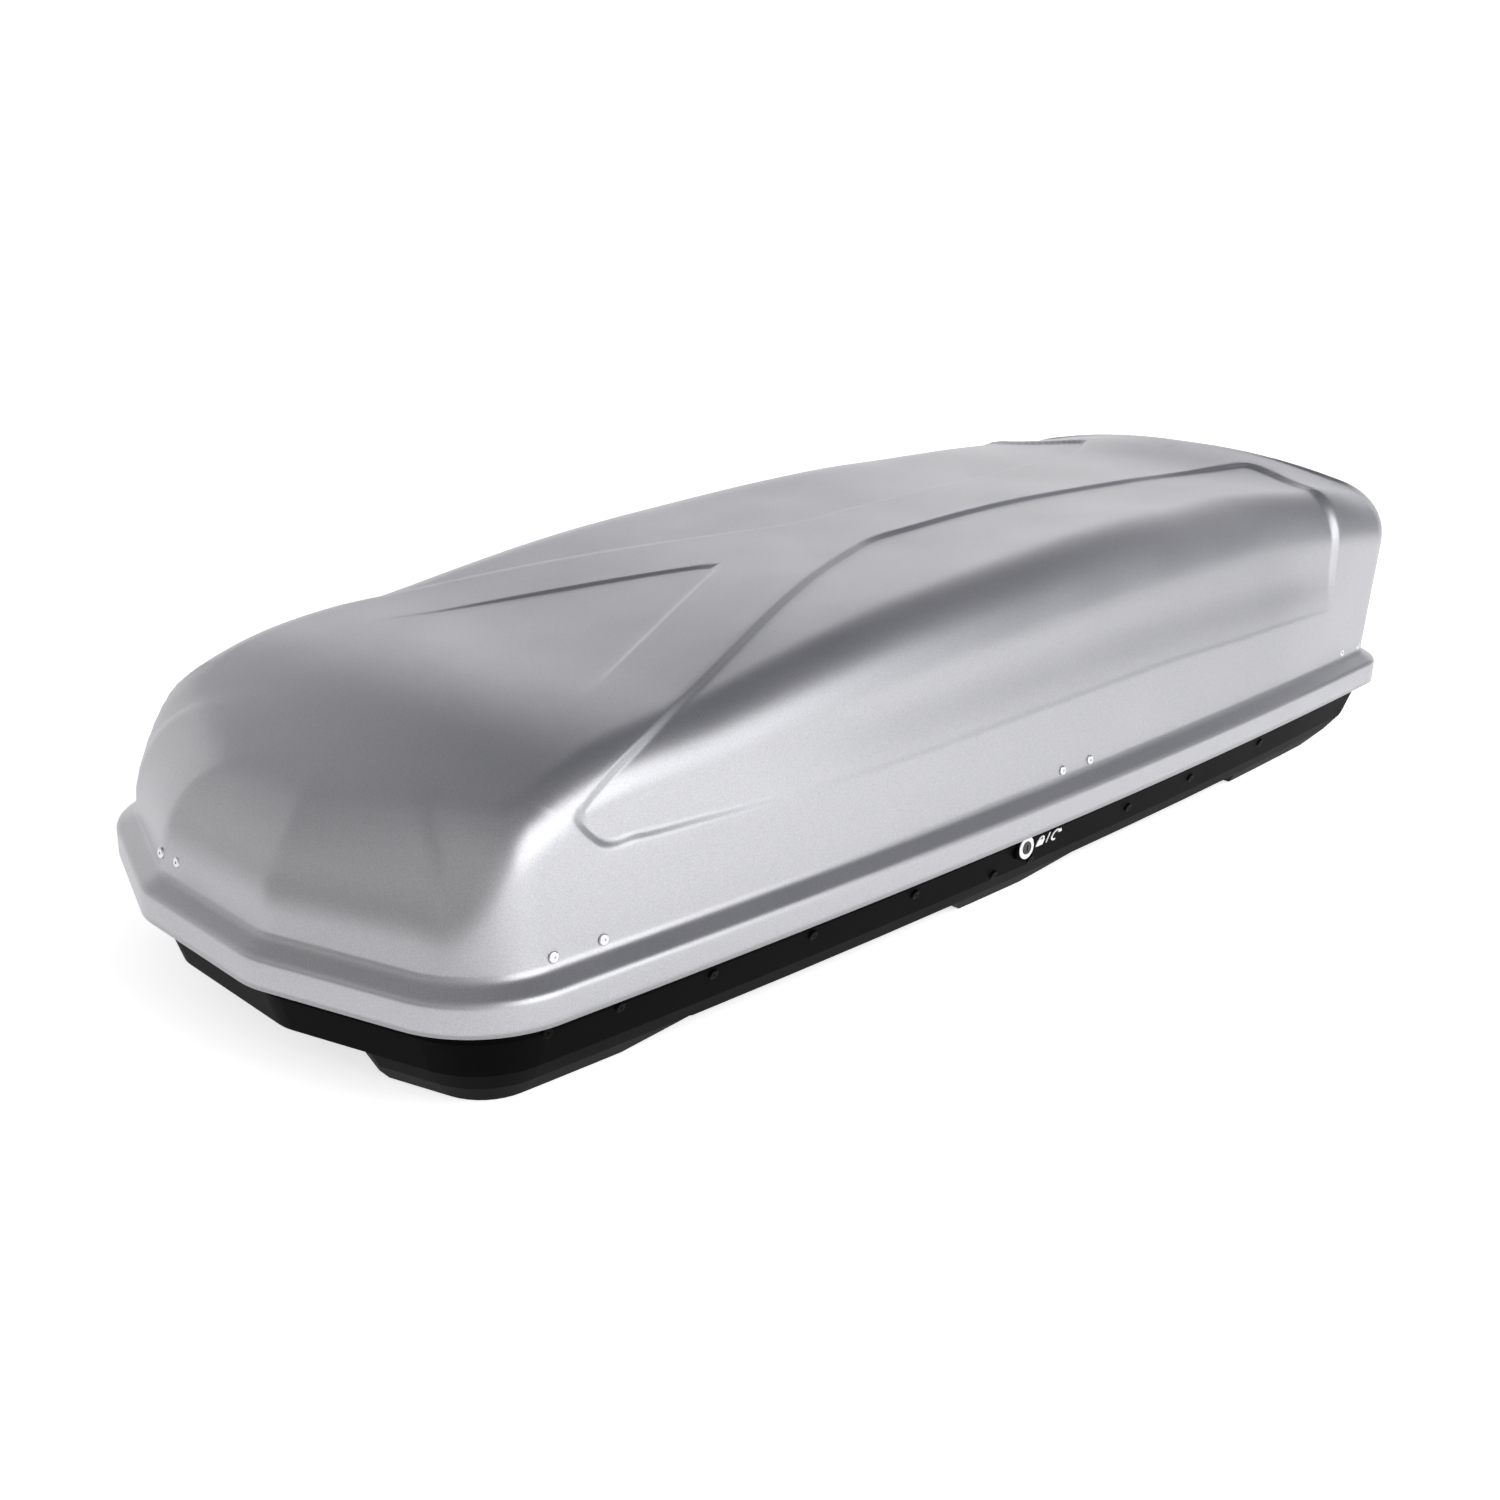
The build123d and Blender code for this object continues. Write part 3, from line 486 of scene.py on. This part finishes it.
def build_lid():
    """The whole lid as one closed mesh, its inside a coarser copy of its outside."""
    grid = lid_grid()
    outer = grid + grid_normals(grid) * lid_creases(grid)[..., None]
    on_centre(outer)
    last = outer.shape[1] - 1
    columns = [0, *range(2, last, INNER_STEP), last]
    inner = (outer - grid_normals(outer) * LID_T)[:, columns]
    inner[:, 0, 2] = 0
    on_centre(inner)
    return closed_shell(outer, inner, "lid_skin")


# Materials ---------------------------------------------------------------------------------

GLOSS_SPREAD = 0.05
WEAR_SCALE = 9.0


def node_material(name, color, roughness, metallic=0.0, specular=0.5):
    material = bpy.data.materials.new(name)
    material.use_nodes = True
    shader = material.node_tree.nodes["Principled BSDF"]
    shader.inputs["Base Color"].default_value = (*color, 1)
    shader.inputs["Roughness"].default_value = roughness
    shader.inputs["Metallic"].default_value = metallic
    shader.inputs["Specular IOR Level"].default_value = specular
    return material, material.node_tree, shader


def noise(tree, scale, detail):
    """Noise that stays with the object."""
    place = tree.nodes.get("Place") or tree.nodes.new("ShaderNodeTexCoord")
    place.name = "Place"
    node = tree.nodes.new("ShaderNodeTexNoise")
    node.inputs["Scale"].default_value = scale
    node.inputs["Detail"].default_value = detail
    tree.links.new(place.outputs["Object"], node.inputs["Vector"])
    return node.outputs["Fac"]


def ramp(tree, value, low, high, color_low, color_high):
    """One colour up to low, another from high on, and a blend between."""
    node = tree.nodes.new("ShaderNodeValToRGB")
    node.color_ramp.elements[0].position = low
    node.color_ramp.elements[1].position = high
    node.color_ramp.elements[0].color = (*color_low, 1)
    node.color_ramp.elements[1].color = (*color_high, 1)
    tree.links.new(value, node.inputs["Fac"])
    return node.outputs["Color"]


def bump(tree, shader, height, strength, distance):
    node = tree.nodes.new("ShaderNodeBump")
    node.inputs["Strength"].default_value = strength
    node.inputs["Distance"].default_value = distance
    tree.links.new(height, node.inputs["Height"])
    tree.links.new(node.outputs["Normal"], shader.inputs["Normal"])


def shade(color, factor):
    return tuple(min(1.0, c * factor) for c in color)


def grained(name, color, roughness, grain, spread, depth, **more):
    """Plastic or paint with a fine grain, slight colour variation and uneven gloss."""
    material, tree, shader = node_material(name, color, roughness, **more)
    fine = noise(tree, grain, 2.0)
    tone = ramp(tree, fine, 0.35, 0.65, shade(color, 1 - spread), shade(color, 1 + spread))
    tree.links.new(tone, shader.inputs["Base Color"])
    broad = noise(tree, WEAR_SCALE, 4.0)
    gloss = tree.nodes.new("ShaderNodeMapRange")
    gloss.inputs["To Min"].default_value = roughness - GLOSS_SPREAD
    gloss.inputs["To Max"].default_value = roughness + GLOSS_SPREAD
    tree.links.new(broad, gloss.inputs["Value"])
    tree.links.new(gloss.outputs["Result"], shader.inputs["Roughness"])
    bump(tree, shader, fine, 0.35, depth)
    return material


lid_material = grained("silver_grain", (0.46, 0.46, 0.475), 0.40, 900.0, 0.10, 0.00012, metallic=0.85)
base_material = grained("black_sheet", (0.0015, 0.0015, 0.0017), 0.5, 500.0, 0.3, 0.0001, specular=0.02)
zinc_material = grained("zinc_steel", (0.55, 0.56, 0.57), 0.35, 400.0, 0.1, 0.00005, metallic=1.0)
silver_rivet_material = grained("silver_rivet", (0.72, 0.72, 0.72), 0.3, 300.0, 0.08, 0.00005, metallic=1.0)
black_rivet_material = grained("black_rivet", (0.002, 0.002, 0.002), 0.45, 300.0, 0.2, 0.00005,
                               specular=0.05)
strut_material = grained("strut_paint", (0.02, 0.02, 0.022), 0.35, 300.0, 0.2, 0.00005)
chrome_material = grained("strut_chrome", (0.8, 0.8, 0.82), 0.12, 200.0, 0.03, 0.00001, metallic=1.0)
moulding_material = grained("black_moulding", (0.03, 0.03, 0.032), 0.55, 600.0, 0.2, 0.00015)
lock_material = grained("lock_metal", (0.03, 0.03, 0.032), 0.3, 300.0, 0.2, 0.00003, metallic=0.4)
ring_material = grained("white_ring", (0.8, 0.8, 0.78), 0.35, 300.0, 0.04, 0.00003)
label_material = grained("label_ink", (0.75, 0.75, 0.73), 0.5, 400.0, 0.06, 0.00002)
knob_material = grained("red_knob", (0.3, 0.015, 0.015), 0.45, 500.0, 0.15, 0.0001)

SLOT_MATERIALS = {
    "lid_plastic": lid_material, "base_plastic": base_material, "silver_rivet": silver_rivet_material,
    "black_rivet": black_rivet_material, "zinc_steel": zinc_material, "strut_black": strut_material,
    "strut_chrome": chrome_material, "black_moulding": moulding_material, "lock_metal": lock_material,
    "white_ring": ring_material, "knob_plastic": knob_material,
}
for entry in frame["record"]["subparts"]:
    node = frame["nodes"][entry["node"]]
    node.data.materials.clear()
    node.data.materials.append(SLOT_MATERIALS[entry["material_slot"]])


def place_lid():
    lid = build_lid()
    lid.data.materials.append(lid_material)
    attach(lid, "lid")
    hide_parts("lid_shell")


place_lid()


# Lock label, printed beside the lock -------------------------------------------------------

LABEL_STATION = 928.0
LABEL_H = -28.0
LABEL_T = 0.8
# The base's wall behind the label: height and inset from the skirt, above and below
BASE_WALL = ((-20.0, 25.0), (-60.0, 38.0))
LABEL_WELD = 0.000001


def arc_band(center, inner, outer, start, end, count=14):
    """Outline of a curved band, angles in degrees."""
    angles = np.radians(np.linspace(start, end, count))
    ring = np.stack([np.cos(angles), np.sin(angles)], 1)
    return np.concatenate([center + ring * outer, center + ring[::-1] * inner])


def label_outlines():
    """A padlock, a bar and a turning arrow."""
    lock_body = np.array([(-7.0, -8.0), (7.0, -8.0), (7.0, 1.0), (-7.0, 1.0)])
    shackle = arc_band(np.array([0.0, 1.0]), 3.4, 5.6, 0, 180)
    turn = arc_band(np.array([31.0, -1.0]), 6.0, 8.4, 20, 290, 20)
    point = np.array([(34.6, 1.2), (42.0, 1.2), (38.3, 6.8)])
    bar = np.array([(14.0, -8.0), (15.6, -8.0), (15.6, 7.0), (14.0, 7.0)])
    return lock_body, shackle, turn, point, bar


def label_point(u, v):
    """Point of the base's wall, u towards the rear and v up from the label's centre."""
    station, height = LABEL_STATION + u, LABEL_H + v
    (top, inset_top), (bottom, inset_bottom) = BASE_WALL
    inset = inset_top + (inset_bottom - inset_top) * (top - height) / (top - bottom)
    return np.array([NOSE_X - station, side_y(station) - inset, RIM_Z + height])


def build_label():
    """Each outline as a thin slab through the face of the wall."""
    (top, inset_top), (bottom, inset_bottom) = BASE_WALL
    outward = np.array([0.0, top - bottom, inset_top - inset_bottom])
    half = outward / np.linalg.norm(outward) * LABEL_T
    points, faces = [], []
    for outline in label_outlines():
        count, first = len(outline), len(points)
        flat = [label_point(u, v) for u, v in outline]
        points += [(p - half) * MM for p in flat]
        points += [(p + half) * MM for p in flat]
        faces.append([first + k for k in range(count)])
        faces.append([first + count + k for k in reversed(range(count))])
        for k in range(count):
            after = (k + 1) % count
            faces.append([first + after, first + k, first + count + k, first + count + after])
    return mesh_object("lock_label", np.array(points), faces, LABEL_WELD, smooth_shading=False)


def place_label():
    label = build_label()
    label.data.materials.append(label_material)
    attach(label, "base")


place_label()


# Camera, floor and light, in metres -------------------------------------------------------------------

CAMERA_PLACE = (1.6215, 1.4511, 0.8548)
CAMERA_HEADING = math.radians(225.29)
CAMERA_PITCH = math.radians(19.22)
CAMERA_ROLL = math.radians(0.80)
LENS = 40.55
LENS_SHIFT = 0.0171
SENSOR = 36.0

# Floor, measured along the camera's heading: level, then a bend, then a wall
FLOOR_HALF = 8.0
FLOOR_NEAR = -6.0
BEND_START = 3.0
BEND_R = 3.0
WALL_START = 3.3
WALL_TOP = 4.2
FLOOR_GLOW = 0.7

# Colours of the studio around the box
LOW_SKY = (0.8, 0.8, 0.81)
HIGH_SKY = (0.37, 0.37, 0.38)
FRONT_TINT = (0.16, 0.15, 0.14)
TAIL_TINT = (0.30, 0.31, 0.37)
NO_TINT = (1, 1, 1)
FRONT_TILT = -1.2


def add_camera():
    camera = bpy.data.objects.new("camera", bpy.data.cameras.new("camera"))
    bpy.context.scene.collection.objects.link(camera)
    flat = math.cos(CAMERA_PITCH)
    down = math.sin(CAMERA_PITCH)
    forward = Vector((math.cos(CAMERA_HEADING) * flat, math.sin(CAMERA_HEADING) * flat, -down))
    level = forward.cross(Vector((0, 0, 1))).normalized()
    upright = level.cross(forward)
    right = level * math.cos(CAMERA_ROLL) + upright * math.sin(CAMERA_ROLL)
    up = right.cross(forward)
    turned = Matrix((right, up, -forward)).transposed().to_4x4()
    camera.matrix_world = Matrix.Translation(CAMERA_PLACE) @ turned
    camera.data.lens = LENS
    camera.data.sensor_width = SENSOR
    camera.data.shift_x = LENS_SHIFT
    bpy.context.scene.camera = camera


def add_area(name, place, target, size, power):
    light = bpy.data.lights.new(name, "AREA")
    light.shape = "RECTANGLE"
    light.size, light.size_y = size
    light.energy = power
    obj = bpy.data.objects.new(name, light)
    obj.location = place
    aim = Vector(target) - Vector(place)
    obj.rotation_euler = aim.to_track_quat("-Z", "Y").to_euler()
    bpy.context.scene.collection.objects.link(obj)


def add_floor():
    """Floor that bends up far behind the box, so that no horizon shows."""
    turn = np.linspace(0.1, math.pi / 2, 16)
    distance = np.concatenate([np.linspace(FLOOR_NEAR, BEND_START, 10), BEND_START + BEND_R * np.sin(turn),
                               np.full(4, BEND_START + BEND_R)])
    height = np.concatenate([np.zeros(10), BEND_R - BEND_R * np.cos(turn),
                             np.linspace(WALL_START, WALL_TOP, 4)])
    away = np.array([math.cos(CAMERA_HEADING), math.sin(CAMERA_HEADING)])
    beside = np.array([-away[1], away[0]])
    points = []
    for side in (-FLOOR_HALF, FLOOR_HALF):
        points += [(*(away * d + beside * side), h) for d, h in zip(distance, height)]
    count = len(distance)
    faces = [(k, k + 1, count + k + 1, count + k) for k in range(count - 1)]
    floor = mesh_object("floor", np.array(points), faces)
    material, tree, shader = node_material("pale_floor", (0.9, 0.9, 0.9), 0.9, specular=0.1)
    shader.inputs["Emission Color"].default_value = (1, 1, 1, 1)
    shader.inputs["Emission Strength"].default_value = FLOOR_GLOW
    floor.data.materials.append(material)


def world_light():
    """Studio surround: pale low down, darker higher up, at the front and behind the tail."""
    world = bpy.data.worlds.new("world")
    world.use_nodes = True
    tree = world.node_tree
    place = tree.nodes.new("ShaderNodeTexCoord")
    split = tree.nodes.new("ShaderNodeSeparateXYZ")
    tree.links.new(place.outputs["Generated"], split.inputs["Vector"])
    rise = ramp(tree, split.outputs["Z"], 0.3, 0.8, LOW_SKY, HIGH_SKY)
    low_front = tree.nodes.new("ShaderNodeMath")
    low_front.operation = "MULTIPLY_ADD"
    low_front.inputs[1].default_value = FRONT_TILT
    tree.links.new(split.outputs["Z"], low_front.inputs[0])
    tree.links.new(split.outputs["X"], low_front.inputs[2])
    front = ramp(tree, low_front.outputs["Value"], 0.3, 0.85, NO_TINT, FRONT_TINT)
    tail = ramp(tree, split.outputs["X"], -0.93, -0.62, TAIL_TINT, NO_TINT)
    color = rise
    for tint in (front, tail):
        mix = tree.nodes.new("ShaderNodeMix")
        mix.data_type = "RGBA"
        mix.blend_type = "MULTIPLY"
        mix.inputs["Factor"].default_value = 1.0
        tree.links.new(color, mix.inputs[6])
        tree.links.new(tint, mix.inputs[7])
        color = mix.outputs[2]
    tree.links.new(color, tree.nodes["Background"].inputs["Color"])
    tree.nodes["Background"].inputs["Strength"].default_value = 1.0
    bpy.context.scene.world = world


add_camera()
add_floor()
add_area("side_softbox", (-0.5, 3.2, 1.75), (-1.1, 0, 1.0), (3.4, 3.0), 95.0)
world_light()
bpy.context.scene.view_settings.view_transform = "Standard"
